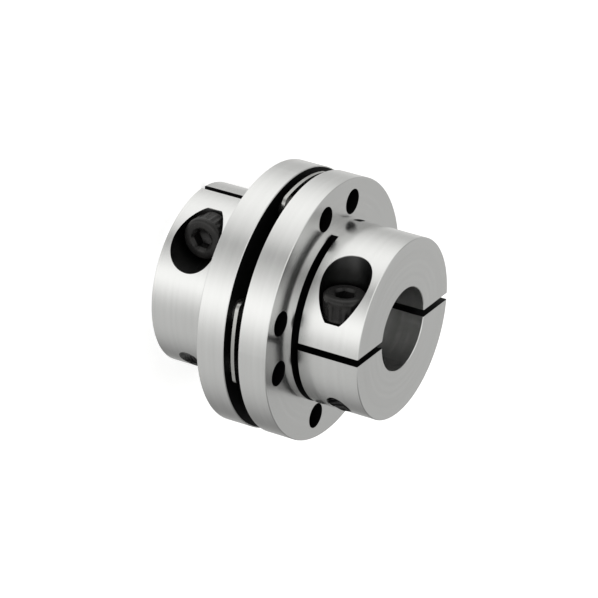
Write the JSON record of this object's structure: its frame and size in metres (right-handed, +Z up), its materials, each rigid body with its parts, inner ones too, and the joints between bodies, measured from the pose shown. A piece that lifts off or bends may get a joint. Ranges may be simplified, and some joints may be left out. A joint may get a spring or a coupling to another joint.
{
  "type": "disc coupling",
  "caption": "Flexible shaft coupling: two slit clamp hubs with round flanges, joined across a narrow gap by a pack of thin spring discs.",
  "frame": {"origin": "centre of the lower hub's end face, on which the coupling stands", "axes": "+Z up along the shaft axis, +X in the slit of the upper hub, and +Y in the slit of the lower hub"},
  "size_m": [0.044, 0.044, 0.038],
  "materials": {
    "hub_aluminium": "satin turned",
    "black_oxide": "black oxide, lightly oiled",
    "spring_steel": "rolled, bright",
    "plain_steel": "turned, bright"
  },
  "bodies": {
    "root": {"hub_top": "hub_aluminium", "clamp_screw_top_1": "black_oxide", "clamp_screw_top_2": "black_oxide", "disc_screw_top_1": "black_oxide", "spacer_top_1": "plain_steel", "collar_nut_top_1": "black_oxide", "disc_screw_top_2": "black_oxide", "spacer_top_2": "plain_steel", "collar_nut_top_2": "black_oxide", "disc_screw_top_3": "black_oxide", "spacer_top_3": "plain_steel", "collar_nut_top_3": "black_oxide", "disc_screw_top_4": "black_oxide", "spacer_top_4": "plain_steel", "collar_nut_top_4": "black_oxide", "hub_bottom": "hub_aluminium", "clamp_screw_bottom_1": "black_oxide", "clamp_screw_bottom_2": "black_oxide", "disc_screw_bottom_1": "black_oxide", "spacer_bottom_1": "plain_steel", "collar_nut_bottom_1": "black_oxide", "disc_screw_bottom_2": "black_oxide", "spacer_bottom_2": "plain_steel", "collar_nut_bottom_2": "black_oxide", "disc_screw_bottom_3": "black_oxide", "spacer_bottom_3": "plain_steel", "collar_nut_bottom_3": "black_oxide", "disc_screw_bottom_4": "black_oxide", "spacer_bottom_4": "plain_steel", "collar_nut_bottom_4": "black_oxide", "disc_leaf_bottom": "spring_steel", "disc_leaf_middle": "spring_steel", "disc_leaf_top": "spring_steel"}
  },
  "joints": []
}
